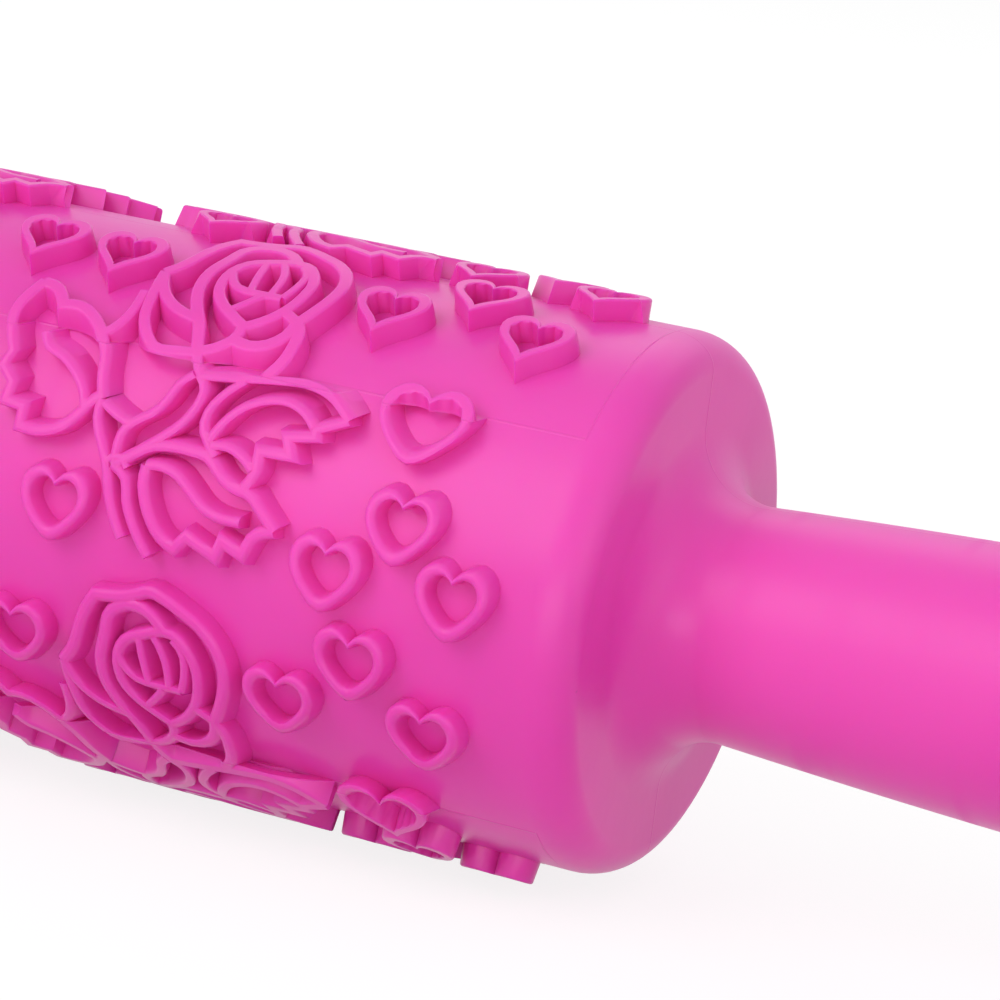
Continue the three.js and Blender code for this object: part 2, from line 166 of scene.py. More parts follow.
# %% Lines of the stems and leaves below a bloom
LEAF_WIDTH = 1.2
STEM_WIDTH = 1.0
CROSSING_WIDTH = 0.7
stem_lines = {
    "neck": ([(-0.05, 0.87), (0.02, 1.03), (0.08, 1.11)], [], INNER_WIDTH),
    "right leaf, top": ([(0.07, 1.11), (0.41, 1.06), (0.82, 0.99), (1.1, 0.97), (1.32, 1.03),
        (1.48, 1.14), (1.58, 1.23)], [], LEAF_WIDTH),
    "right leaf, edge": ([(1.58, 1.23), (1.31, 1.37), (1.33, 1.44), (1.08, 1.49), (1.17, 1.65),
        (0.87, 1.66), (0.9, 1.82), (0.82, 2.02)], [1, 2, 3, 4, 5], LEAF_WIDTH),
    "right leaf, left": ([(0.51, 1.07), (0.36, 1.25), (0.28, 1.43), (0.29, 1.57), (0.36, 1.67),
        (0.48, 1.8)], [], STEM_WIDTH),
    "right leaf, vein": ([(0.38, 1.67), (0.47, 1.47), (0.6, 1.31), (0.78, 1.21), (0.97, 1.18),
        (1.15, 1.24), (1.29, 1.36)], [], STEM_WIDTH),
    "right leaf, loop": ([(0.42, 1.71), (0.58, 1.69), (0.74, 1.75), (0.86, 1.84)], [], STEM_WIDTH),
    "stem, right": ([(0.07, 1.11), (0.16, 1.22), (0.16, 1.38), (0.09, 1.56), (-0.04, 1.71),
        (-0.22, 1.87)], [], STEM_WIDTH),
    "stem, left": ([(0.02, 1.11), (-0.08, 1.23), (-0.14, 1.41), (-0.2, 1.52), (-0.35, 1.64),
        (-0.44, 1.74), (-0.46, 1.89), (-0.44, 2.04)], [], STEM_WIDTH),
    "twig": ([(-0.71, 1.54), (-0.58, 1.61), (-0.39, 1.68)], [], STEM_WIDTH),
    "left stem": ([(-0.74, 1.51), (-0.74, 1.64), (-0.68, 1.79), (-0.58, 1.95), (-0.5, 2.11),
        (-0.42, 2.34), (-0.33, 2.52), (-0.24, 2.66)], [], STEM_WIDTH),
    "middle stem": ([(-0.45, 2.06), (-0.32, 2.13), (-0.24, 2.36), (-0.11, 2.58), (0.04, 2.77)], [],
        STEM_WIDTH),
    "crossing": ([(-0.54, 2.05), (-0.41, 1.97), (-0.31, 2.06)], [], CROSSING_WIDTH),
    "lower leaf, top": ([(-0.45, 2.06), (-0.29, 1.94), (-0.13, 1.83), (0.06, 1.79), (0.25, 1.79),
        (0.44, 1.82), (0.53, 1.9), (0.65, 1.99), (0.78, 2.03), (0.9, 2.05), (1.03, 2.16),
        (1.2, 2.31)], [], LEAF_WIDTH),
    "lower leaf, edge": ([(1.2, 2.31), (1.04, 2.37), (0.94, 2.57), (0.73, 2.49), (0.69, 2.64),
        (0.39, 2.52), (0.29, 2.65), (0.14, 2.58), (0.01, 2.44), (-0.08, 2.28), (-0.13, 2.12),
        (-0.13, 2.0)], [2, 3, 4, 5, 6], LEAF_WIDTH),
    "lower leaf, vein": ([(-0.13, 2.0), (-0.01, 1.98), (0.15, 2.01), (0.33, 2.13), (0.49, 2.25),
        (0.66, 2.3), (0.87, 2.3)], [], STEM_WIDTH),
    "left leaf, top": ([(-1.81, 0.48), (-1.66, 0.51), (-1.51, 0.68), (-1.35, 0.66), (-1.17, 0.74),
        (-1.01, 0.89), (-0.89, 1.09), (-0.82, 1.32), (-0.74, 1.51)], [2], LEAF_WIDTH),
    "left leaf, edge": ([(-1.81, 0.48), (-1.88, 0.64), (-1.92, 0.82), (-1.87, 1.05), (-1.76, 1.25),
        (-1.8, 1.4), (-1.65, 1.53), (-1.66, 1.71), (-1.46, 1.73), (-1.45, 1.91), (-1.23, 1.91),
        (-1.05, 1.84), (-0.92, 1.7), (-0.83, 1.55), (-0.75, 1.47)], [4, 5, 6, 7, 8, 9], LEAF_WIDTH),
    "left leaf, vein": ([(-1.53, 1.01), (-1.44, 1.14), (-1.28, 1.2), (-1.12, 1.3), (-0.97, 1.45),
        (-0.88, 1.63)], [], STEM_WIDTH),
    "left leaf, link": ([(-1.0, 0.89), (-0.91, 0.79), (-0.85, 0.62), (-0.85, 0.35)], [],
        STEM_WIDTH),
}
print(len(stem_lines), "lines in the stems and leaves")

# %% [markdown]
# ## From points to a smooth line
# A smooth line needs its direction at each point. It is the mean of the directions of the two
# stretches beside the point, and the shorter stretch counts more. A cubic between two points then
# meets both directions. The line breaks at its sharp corners, and each run is worked out alone.

# %% A smooth line through points
STATION = 0.88


def smooth_run(points):
    """A cubic through the points, cut into steps of about STATION. Directions are means of slopes."""
    gaps = np.linalg.norm(np.diff(points, axis=0), axis=1)
    slopes = np.diff(points, axis=0) / gaps[:, None]
    at = np.concatenate([[0], np.cumsum(gaps)])
    if len(points) == 2:
        tangents = np.repeat(slopes, 2, axis=0)
    else:
        inner = gaps[1:, None] * slopes[:-1] + gaps[:-1, None] * slopes[1:]
        inner = inner / (gaps[1:] + gaps[:-1])[:, None]
        first = 1.5 * slopes[:1] - 0.5 * inner[:1]
        last = 1.5 * slopes[-1:] - 0.5 * inner[-1:]
        tangents = np.vstack([first, inner, last])
    where = np.linspace(0, at[-1], max(int(round(at[-1] / STATION)), 1) + 1)
    span = np.clip(np.searchsorted(at, where, side="right") - 1, 0, len(gaps) - 1)
    gap = gaps[span]
    t = (where - at[span]) / gap
    near = (2 * t**3 - 3 * t**2 + 1)[:, None] * points[span]
    far = (3 * t**2 - 2 * t**3)[:, None] * points[span + 1]
    leaving = ((t**3 - 2 * t**2 + t) * gap)[:, None] * tangents[span]
    arriving = ((t**3 - t**2) * gap)[:, None] * tangents[span + 1]
    return near + far + leaving + arriving


def smooth_line(points, corners):
    """The whole line in millimetres, and which of its stations are sharp corners."""
    points = np.array(points) * UNIT
    breaks = [0, *corners, len(points) - 1]
    runs = [smooth_run(points[a:b + 1]) for a, b in zip(breaks[:-1], breaks[1:])]
    line = np.vstack([runs[0], *[run[1:] for run in runs[1:]]])
    sharp = np.zeros(len(line), dtype=bool)
    sharp[np.cumsum([len(run) - 1 for run in runs[:-1]], dtype=int)] = True
    return line, sharp & (len(runs) > 1)


outer_line, outer_sharp = smooth_line(*bloom_lines["outer"][:2])
print("The outer petals have", len(outer_line), "stations and", outer_sharp.sum(), "sharp corner")

# %% [markdown]
# ## Square to a line, and mitres
# A rib keeps its width round a bend only if its sides are measured square to the line. At a sharp
# corner the sides meet in a mitre, as in a picture frame: the step sideways grows by one over the
# cosine of half the turn. Stations that the mitre would run over are left out.

# %% Square to a line
LEAST_COSINE = 0.42
MITRE_MARGIN = 0.1


def sideways(line):
    """Unit normals to the left of a line, the mitre's growth, and each station's signed curve."""
    come = line - np.vstack([2 * line[0] - line[1], line[:-1]])
    leave = np.vstack([line[1:], 2 * line[-1] - line[-2]]) - line
    come_length = np.linalg.norm(come, axis=1)
    leave_length = np.linalg.norm(leave, axis=1)
    come = come / come_length[:, None]
    leave = leave / leave_length[:, None]
    middle = come + leave
    middle /= np.linalg.norm(middle, axis=1)[:, None]
    normal = np.column_stack([-middle[:, 1], middle[:, 0]])
    cosine = np.clip(np.abs((middle * come).sum(axis=1)), LEAST_COSINE, 1)
    cross = come[:, 0] * leave[:, 1] - come[:, 1] * leave[:, 0]
    turn = np.arctan2(cross, (come * leave).sum(axis=1))
    curve = turn / (0.5 * (come_length + leave_length))
    return normal, 1 / cosine, curve


def cleared(line, sharp, foot):
    """The line without the stations that the mitre of a near sharp corner would run over."""
    growth = sideways(line)[1]
    reach = foot * np.sqrt(np.maximum(growth**2 - 1, 0)) + MITRE_MARGIN
    keep = np.ones(len(line), dtype=bool)
    for corner in np.flatnonzero(sharp):
        distance = np.linalg.norm(line - line[corner], axis=1)
        keep &= (distance > reach[corner]) | sharp
    keep[[0, -1]] = True
    return line[keep], sharp[keep]


print("The mitre of the sharp corner grows by", sideways(outer_line)[1][outer_sharp].round(2))

# %% [markdown]
# ## From a line to a rib
# A mould gives each rib a flat top and sides that widen downwards, called draft, so that it leaves
# the mould. A rib is this outline carried along its line. The edges of the tops are rounder where
# the mould's front and back halves shaped them.

# %% A rib as rings of eight points
DRAFT = 0.22
SINK = 1.0
CRISP_EDGE = 0.2
SOFT_EDGE = 0.46
EDGE_SHARE = 0.42
FOOT_SPREAD = DRAFT * (RELIEF + SINK) / RELIEF
SLOPE = DRAFT / RELIEF
MID_ROUND = 0.293
CURVE_ROOM = 0.9
STRAIGHT = 1e-6
NO_LIMIT = 1e6
HALF_REACH = np.arcsin(BARREL_RADIUS / RELIEF_RADIUS * np.sin(np.pi / 4))
BLEND_REACH = 0.03


def softness(arc):
    """The radius of a rib's edges at a place round the pin: soft in the two halves of the mould.

    The angle from the nearest half's middle is compared with that half's reach."""
    from_half = np.abs((arc / RELIEF_RADIUS + np.pi / 2) % np.pi - np.pi / 2)
    blend = np.clip((HALF_REACH + BLEND_REACH - from_half) / (2 * BLEND_REACH), 0, 1)
    return CRISP_EDGE + (SOFT_EDGE - CRISP_EDGE) * blend


def half_outline(half, edge):
    """One side of a rib's outline, from the foot to the top: distances from the line, and heights.

    The foot, the start of the rounded edge, the edge's middle and its end on the top."""
    flat = np.zeros_like(edge)
    across = [flat + half + FOOT_SPREAD, half + SLOPE * edge, half - MID_ROUND * edge, half - edge]
    heights = [flat - SINK, RELIEF - edge, RELIEF - MID_ROUND * edge, flat + RELIEF]
    return np.stack(across, axis=-1), np.stack(heights, axis=-1)


def rib(line, sharp, width):
    """Points [x, arc, height] and faces of a rib: eight points round, carried along the line.

    The outline's inner side keeps clear of the middle of a tight curve: its distance from the line
    stays under CURVE_ROOM times the curve's radius."""
    line, sharp = cleared(line, sharp, width / 2 + FOOT_SPREAD)
    normal, growth, curve = sideways(line)
    edge = np.minimum(softness(line[:, 1]), EDGE_SHARE * width)
    across, height = half_outline(width / 2, edge)
    bend = np.maximum(np.abs(curve), STRAIGHT)
    room = np.where(sharp | (np.abs(curve) < STRAIGHT), NO_LIMIT, CURVE_ROOM / bend)
    left = np.where(curve[:, None] > 0, np.minimum(across, room[:, None]), across)
    right = np.where(curve[:, None] < 0, np.minimum(across, room[:, None]), across)
    offsets = np.concatenate([left, -right[:, ::-1]], axis=1)
    heights = np.concatenate([height, height[:, ::-1]], axis=1)
    sides = line[:, None, :] + normal[:, None, :] * (growth[:, None] * offsets)[..., None]
    points = np.concatenate([sides, heights[..., None]], axis=2)
    return points.reshape(-1, 3), ring_faces(len(line), False)


def ring_faces(count, closed):
    """The triangles between rings of eight points: a closed run of rings, or one with end caps."""
    ring = np.arange(8)
    start = np.arange(count if closed else count - 1)[:, None] * 8
    following = (start + 8) % (count * 8)
    step = (ring + 1) % 8
    quads = [start + ring, start + step, following + step, following + ring]
    quads = np.stack(quads, axis=2).reshape(-1, 4)
    triangles = np.vstack([quads[:, [0, 1, 2]], quads[:, [0, 2, 3]]])
    if not closed:
        fan = np.column_stack([np.zeros(6, dtype=int), np.arange(1, 7), np.arange(2, 8)])
        triangles = np.vstack([triangles, fan[:, ::-1], fan + (count - 1) * 8])
    return triangles


outer_rib = rib(outer_line, outer_sharp, BLOOM_WIDTH)
print("The outer petals' rib has", len(outer_rib[1]), "triangles")

# %% [markdown]
# ## Hearts
# The hearts come from the well-known heart curve: across it goes the cube of a sine, and up it go
# four cosines. Mixed with a share of an ellipse it gets the rounder tips of the hearts on the front.
# Its points crowd together at the tip and the cleft, so they are spread out evenly along the curve.
# The cutter that made the sliders' hearts left upright flutes in their holes.

# %% A heart as nested outlines
HEART = (6.0, 5.8)
LARGE_HEART = (7.9, 7.3)
HEART_RIB_WIDTH = 1.1
SOFT_ROUNDNESS = 0.62
CRISP_ROUNDNESS = 0.12
FLUTE_DEPTH = 0.15
TIP_GROWTH = 1.15
CLEFT_SHARE = 0.3
HALF_STEPS = 15
FINE_STEPS = 400


def heart_outline(width, height, roundness, offset):
    """A closed heart, grown by an offset on every side: its tip moves TIP_GROWTH offsets.

    Half a heart is x = sin(t)^3, y = 13 cos(t) - 5 cos(2t) - 2 cos(3t) - cos(4t). The ellipse's
    share in it is the roundness at the tip, and falls to CLEFT_SHARE of that at the cleft."""
    width, height = width + 2 * offset, height + (1 + TIP_GROWTH) * offset
    t = np.linspace(np.pi, 0, FINE_STEPS)
    y = 13 * np.cos(t) - 5 * np.cos(2 * t) - 2 * np.cos(3 * t) - np.cos(4 * t)
    share = roundness * ((1 + CLEFT_SHARE) / 2 - (1 - CLEFT_SHARE) / 2 * np.cos(t))
    x = width / 2 * ((1 - share) * np.sin(t)**3 + share * np.sin(t))
    down = (1 - share) * (0.5 - (y - y.min()) / (y.max() - y.min())) - share * 0.5 * np.cos(t)
    arc = down * height + (TIP_GROWTH - 1) / 2 * offset
    length = np.concatenate([[0], np.cumsum(np.hypot(np.diff(x), np.diff(arc)))])
    even = np.linspace(0, length[-1], HALF_STEPS + 1)
    half = np.column_stack([np.interp(even, length, x), np.interp(even, length, arc)])
    return np.vstack([half, half[-2:0:-1] * [-1, 1]])[::-1]


def heart_rings(width, height, roundness, edge):
    """Eight nested hearts with the heights of a rib's outline whose edges have this radius."""
    across, heights = half_outline(HEART_RIB_WIDTH / 2, np.array(edge))
    across = np.concatenate([-across, across[::-1]])
    heights = np.concatenate([heights, heights[::-1]])
    rings = np.stack([heart_outline(width, height, roundness, offset) for offset in across], axis=1)
    heights = np.broadcast_to(heights[None, :, None], (*rings.shape[:2], 1))
    return np.concatenate([rings, heights], axis=2)


def crispness(arc):
    """The share of a slider in the shape at a place round the pin: 1 in sliders, 0 in halves."""
    return (SOFT_EDGE - softness(arc)) / (SOFT_EDGE - CRISP_EDGE)


def heart_rib(width, height, place):
    """A closed rib round a heart's hole: crisp with flutes where a slider shaped it, else soft.

    For the flutes, every second station of the hole's wall is pushed in by FLUTE_DEPTH."""
    roundness = SOFT_ROUNDNESS + (CRISP_ROUNDNESS - SOFT_ROUNDNESS) * crispness(place[1])
    soft = heart_rings(width, height, roundness, SOFT_EDGE)
    crisp = heart_rings(width, height, roundness, CRISP_EDGE)
    share = crispness(place[1] + soft[:, 3, 1])
    rings = soft + (crisp - soft) * share[:, None, None]
    inward = rings[:, 4:5, :2] - rings[:, 3:4, :2]
    inward = inward / np.linalg.norm(inward, axis=2)[..., None]
    flutes = FLUTE_DEPTH * share * (np.arange(len(rings)) % 2)
    rings[:, :2, :2] += inward * flutes[:, None, None]
    return rings.reshape(-1, 3) + [*place, 0], ring_faces(len(rings), True)


print("A heart has", len(heart_rib(*HEART, (0.0, 0.0))[1]), "triangles")

# %% [markdown]
# ## The whole pattern, laid flat
# Four whole roses and one row of blooms go round the barrel, in two columns. One more copy of the
# last row stands a turn lower, so that the unrolled sheet has no gap where it meets itself. The same
# line of all roses goes into one mesh, because those copies never touch, and then all those meshes
# are joined. Joined while flat, all tops lie in exactly one plane, so they merge without a step.
#
# Hearts are placed in millimetres from the middle of a bloom. The gap in front of the roomy row is
# wider than the others, so in the other rows the low hearts move up a little.

# %% Places of the roses and hearts
COLUMNS = (19.4, -20.6)
WHOLE_ROWS = np.radians([-79.5, 38.9, 117.7, 201.6, 280.5])
BLOOM_ROW = np.radians([-1.1])
beside_bloom = [(-22.0, -1.4), (-13.5, -1.2)]
beside_stems = [(-9.9, 25.8)]
past_last_bloom = [(14.0, -0.7), (28.3, -0.6)]
past_last_stems = [(21.1, -6.2), (24.0, 21.0), (17.8, 26.4), (30.1, 26.4)]
before_first = [(-29.0, 6.4), (-28.3, 23.1)]
large_past_last = (22.9, 11.3)
ROOMY_ROW = WHOLE_ROWS[2]
LOW_PLACE = 15
SQUEEZE = 0.93


def gathered(ribs):
    """Several ribs' points and faces as one pair of arrays."""
    points = [rib_points for rib_points, rib_faces in ribs]
    faces = [rib_faces for rib_points, rib_faces in ribs]
    starts = np.cumsum([0] + [len(part) for part in points[:-1]])
    return np.vstack(points), np.vstack([part + start for part, start in zip(faces, starts)])


def copies_of(name, lines, rows):
    """One mesh with the named line of every rose in these rows."""
    points, corners, width = lines[name]
    line, sharp = smooth_line(points, corners)
    places = [(x, row * RELIEF_RADIUS) for row in rows for x in COLUMNS]
    return add_mesh(name, *gathered([rib(line + place, sharp, width) for place in places]))


def heart_ribs():
    """The ribs of all hearts, the large ones beyond the last column among them."""
    ribs = []
    for row in [*WHOLE_ROWS, *BLOOM_ROW]:
        whole = row in WHOLE_ROWS
        for x in COLUMNS:
            last = x == COLUMNS[0]
            places = beside_bloom + (past_last_bloom if last else [])
            if whole:
                places = places + beside_stems + (past_last_stems if last else before_first)
            kinds = [(HEART, place) for place in places]
            if whole and last:
                kinds.append((LARGE_HEART, large_past_last))
            for size, (along, around) in kinds:
                room = SQUEEZE if row != ROOMY_ROW and around > LOW_PLACE else 1
                ribs.append(heart_rib(*size, (x + along, row * RELIEF_RADIUS + around * room)))
    return ribs


print("Roses stand in", len(WHOLE_ROWS), "whole rows and a row of blooms")

# %% [markdown]
# ## Join the flat pattern
# Ribs that meet overlap in one solid on the real pin. A Boolean modifier with the manifold solver
# joins closed meshes quickly and exactly, and its result is read back as triangles. Leaving the
# overlaps would be easier, but light goes into this plastic and would meet the hidden walls.

# %% Join the flat pattern
def triangles_of(mesh):
    """The points of a mesh and its triangles, as two arrays."""
    points = np.empty(len(mesh.vertices) * 3, dtype=np.float32)
    mesh.vertices.foreach_get("co", points)
    mesh.calc_loop_triangles()
    corners = np.empty(len(mesh.loop_triangles) * 3, dtype=np.int32)
    mesh.loop_triangles.foreach_get("vertices", corners)
    return points.reshape(-1, 3).astype(float), corners.reshape(-1, 3)


def drop(*pieces):
    """Deletes helper objects with their meshes."""
    for piece in pieces:
        mesh = piece.data
        bpy.data.objects.remove(piece)
        if mesh.users == 0:
            bpy.data.meshes.remove(mesh)


def cut_or_join(base, others, operation):
    """The points and triangles of base joined with, or cut to, the other objects. All go.

    Two triangles on the same three points lie back to back with nothing between, so both go."""
    group = bpy.data.collections.new("operands")
    bpy.context.scene.collection.children.link(group)
    for other in others:
        bpy.context.scene.collection.objects.unlink(other)
        group.objects.link(other)
    modifier = base.modifiers.new("boolean", "BOOLEAN")
    modifier.operation = operation
    modifier.solver = "MANIFOLD"
    modifier.operand_type = "COLLECTION"
    modifier.collection = group
    done = base.evaluated_get(bpy.context.evaluated_depsgraph_get())
    result = bpy.data.meshes.new_from_object(done)
    points, faces = triangles_of(result)
    bpy.data.meshes.remove(result)
    drop(base, *others)
    bpy.data.collections.remove(group)
    found = np.unique(np.sort(faces, axis=1), axis=0, return_inverse=True, return_counts=True)
    return points, faces[found[2][found[1].ravel()] == 1]


line_meshes = [copies_of(name, bloom_lines, [*WHOLE_ROWS, *BLOOM_ROW]) for name in bloom_lines]
line_meshes += [copies_of(name, stem_lines, WHOLE_ROWS) for name in stem_lines]
line_meshes.append(add_mesh("hearts", *gathered(heart_ribs())))
flat_points, flat_faces = cut_or_join(line_meshes[0], line_meshes[1:], "UNION")
print("The flat pattern has", len(flat_faces), "triangles")

# %% [markdown]
# ## Round the barrel, one mould part at a time
# A pin like this comes out of a mould in six parts: a front and a back half, and two sliders above
# and two below. The sides of a rib run the way its mould part leaves, not straight out from the
# axis, which is why the ribs seem to lean. A rib's top stays where it is on the outer cylinder, and
# its foot lies straight behind it along the pull. Each part is cut from its own wrapped copy by a
# box, because the borders between the parts are flat. The boxes overlap by a hair, and the step
# left there is the fine line that a real mould leaves.

# %% Wrap and cut
OVERLAP = 0.01
HALF_Z = BARREL_RADIUS * np.sin(np.pi / 4)
REACH = np.degrees(HALF_REACH)
SLIDER_PULL = 67.5
EXACT_REACH = 0.96
STRIP_MARGIN = 4
FAR, STRIP_END, STRIP_HEIGHT = 40, 90, 5
BACK, FRONT = (-OVERLAP, FAR), (-FAR, OVERLAP)
BETWEEN = (-HALF_Z - OVERLAP, HALF_Z + OVERLAP)
ABOVE, BELOW = (HALF_Z - OVERLAP, FAR), (-FAR, OVERLAP - HALF_Z)
mould_parts = [
    ("back half", 0, (-REACH, REACH), BACK, BETWEEN),
    ("top back slider", SLIDER_PULL, (REACH, 90), BACK, ABOVE),
    ("top front slider", 180 - SLIDER_PULL, (90, 180 - REACH), FRONT, ABOVE),
    ("front half", 180, (180 - REACH, 180 + REACH), FRONT, BETWEEN),
    ("bottom front slider", 180 + SLIDER_PULL, (180 + REACH, 270), FRONT, BELOW),
    ("bottom back slider", 360 - SLIDER_PULL, (270, 360 - REACH), BACK, BELOW),
]


def box(name, low, high):
    """A block between two corners."""
    corners = np.array([[x, y, z] for x in (0, 1) for y in (0, 1) for z in (0, 1)])
    faces = [[0, 1, 3, 2], [4, 6, 7, 5], [0, 4, 5, 1], [2, 3, 7, 6], [0, 2, 6, 4], [1, 5, 7, 3]]
    return add_mesh(name, np.array(low) + corners * (np.array(high) - low), faces)


def on_cylinder(x, radius, angle):
    """Points at these distances from the axis and angles round it."""
    return np.column_stack([x, radius * np.cos(angle), radius * np.sin(angle)])


def wrapped(points, pull):
    """Flat points on the barrel: a point at height h lies h / RELIEF of the way from foot to top.

    The foot is as far off the pull's axis as the top: sin(foot) = RELIEF_RADIUS / BARREL_RADIUS
    times sin(top), both from the pull. Beyond EXACT_REACH, which is cut off later, it just follows."""
    x, arc, height = points.T
    top = arc / RELIEF_RADIUS
    off_pull = top - pull
    near = np.clip(off_pull, -EXACT_REACH, EXACT_REACH)
    foot = pull + np.arcsin(RELIEF_RADIUS / BARREL_RADIUS * np.sin(near)) + (off_pull - near)
    low = on_cylinder(x, BARREL_RADIUS, foot)
    high = on_cylinder(x, RELIEF_RADIUS, top)
    return low + (high - low) * (height / RELIEF)[:, None]


def mould_part(name, pull, angles, y_range, z_range):
    """The ribs that one mould part shapes, on the barrel."""
    angles = np.array([angles[0] - STRIP_MARGIN, angles[1] + STRIP_MARGIN])
    arcs = np.radians(angles) * RELIEF_RADIUS
    strip = box("strip", (-STRIP_END, arcs[0], -STRIP_HEIGHT), (STRIP_END, arcs[1], STRIP_HEIGHT))
    points, faces = cut_or_join(add_mesh(name, flat_points, flat_faces), [strip], "INTERSECT")
    ribs = add_mesh(name, wrapped(points, np.radians(pull)), faces[:, ::-1])
    region = box("region", *zip((-STRIP_END, STRIP_END), y_range, z_range))
    return add_mesh(name, *cut_or_join(ribs, [region], "INTERSECT"))


rib_parts = [mould_part(*part) for part in mould_parts]
print("Triangles in each mould part:", [len(part.data.polygons) for part in rib_parts])

# %% [markdown]
# ## The profile of one end
# A turned form is a profile carried round an axis. Both ends of the pin have the same one: the
# quarter ellipse of the shoulder, the flat of the end face, the hollow fillet that runs out into
# the neck, the grip's slow swell and the rounded tip. It comes back through the bore, because the
# pin is hollow.

# %% The profile of one end
GRIP_RINGS = 26
PLUG_SEAT_RADIUS, PLUG_SEAT_DEPTH = 5.5, 2.1
CORE_RADIUS, CORE_DEPTH = 4.3, 14.4
HOLLOW_RADIUS = 6.6
HOLLOW_FLARE = 6


def quarter(start, end, leaves_along, steps):
    """A quarter of an ellipse that leaves its start along the pin and ends square to it, or back."""
    turn = np.linspace(0, np.pi / 2, steps + 1)
    rising, lagging = np.sin(turn), 1 - np.cos(turn)
    shares = np.column_stack([rising, lagging] if leaves_along else [lagging, rising])
    start, end = np.array(start), np.array(end)
    return start + (end - start) * shares


def end_outline():
    """From the shoulder to the hole in the tip. The grip swells as a parabola:

    radius = GRIP_RADIUS - (GRIP_RADIUS - NECK_RADIUS) (1 - distance / GRIP_PEAK)^2."""
    distance = np.linspace(0, TIP_X - TIP_ROUND - NECK_X, GRIP_RINGS)
    swell = (GRIP_RADIUS - NECK_RADIUS) * (1 - distance / GRIP_PEAK)**2
    grip = np.column_stack([NECK_X + distance, GRIP_RADIUS - swell])
    return np.vstack([
        quarter((SHOULDER_X, BARREL_RADIUS), (END_FACE_X, BARREL_RADIUS - SHOULDER_DROP), True, 14),
        quarter((END_FACE_X, NECK_RADIUS + NECK_FILLET_HEIGHT), grip[0], False, 16),
        grip[1:],
        quarter(grip[-1], (TIP_X, TIP_FLAT_RADIUS), True, 10)[1:],
    ])


def end_bore():
    """From the plug's seat in the tip back to the inside of the barrel's end wall."""
    seat_x, core_x, hollow = TIP_X - PLUG_SEAT_DEPTH, TIP_X - CORE_DEPTH, NECK_RADIUS - NECK_WALL
    return np.vstack([
        [(TIP_X, PLUG_SEAT_RADIUS), (seat_x, PLUG_SEAT_RADIUS), (seat_x, CORE_RADIUS)],
        [(core_x, CORE_RADIUS), (core_x, HOLLOW_RADIUS)],
        quarter((NECK_X, hollow), (END_FACE_X - NECK_WALL, hollow + HOLLOW_FLARE), True, 6),
    ])


print("The outline of an end has", len(end_outline()), "points and its bore", len(end_bore()))

# %% [markdown]
# ## Turn the body and join the ribs
# The barrel's own line comes before the right end's profile, and both go round the axis together.
# The ribs are then joined to the body, so that they grow out of it as in one moulding.

# %% Turn the body and join the ribs
SIDES = 144
EDGE = 0.3
BARREL_RINGS = 34


def turned(name, profile, side=1):
    """A closed profile [x, radius] carried round the X axis; side -1 mirrors it to the left end."""
    profile = np.asarray(profile, dtype=float)
    angle = np.arange(SIDES) / SIDES * 2 * np.pi
    x, radius = np.repeat(profile, SIDES, axis=0).T
    points = on_cylinder(side * x, radius, np.tile(angle, len(profile)))
    ring = np.arange(len(profile))[:, None] * SIDES
    following = (ring + SIDES) % (len(profile) * SIDES)
    here = np.arange(SIDES)
    beyond = (here + 1) % SIDES
    faces = [ring + here, ring + beyond, following + beyond, following + here]
    faces = np.stack(faces, axis=2).reshape(-1, 4)
    return add_mesh(name, points, faces if side > 0 else faces[:, ::-1])


barrel_x = np.linspace(-SEAM_X + EDGE, SHOULDER_X, BARREL_RINGS)[1:-1]
body_profile = np.vstack([
    quarter((-SEAM_X, BARREL_RADIUS - EDGE), (-SEAM_X + EDGE, BARREL_RADIUS), False, 4),
    np.column_stack([barrel_x, np.full(len(barrel_x), BARREL_RADIUS)]),
    end_outline(), end_bore(),
    [(END_FACE_X - NECK_WALL, BORE_RADIUS), (-SEAM_X, BORE_RADIUS)],
])
body = turned("plain_body", body_profile)
roller_points, roller_faces = cut_or_join(body, rib_parts, "UNION")
outermost = np.hypot(*roller_points[:, 1:].T).max()
print("The roller has", len(roller_faces), "triangles, and its ribs reach", outermost, "mm")

# %% [markdown]
# ## Smooth light on exact surfaces
# A long thin triangle shades badly when its normal is an average of its neighbours. The barrel and
# the tops of the ribs are exact cylinders, so their corners get the exact normal, straight out from
# the axis. All other corners keep Blender's smooth normals, broken where faces meet at a sharp
# angle.

# %% Make a shown piece
SHARP_ANGLE = 50
ON_SURFACE = 0.06
UPRIGHT = 0.97


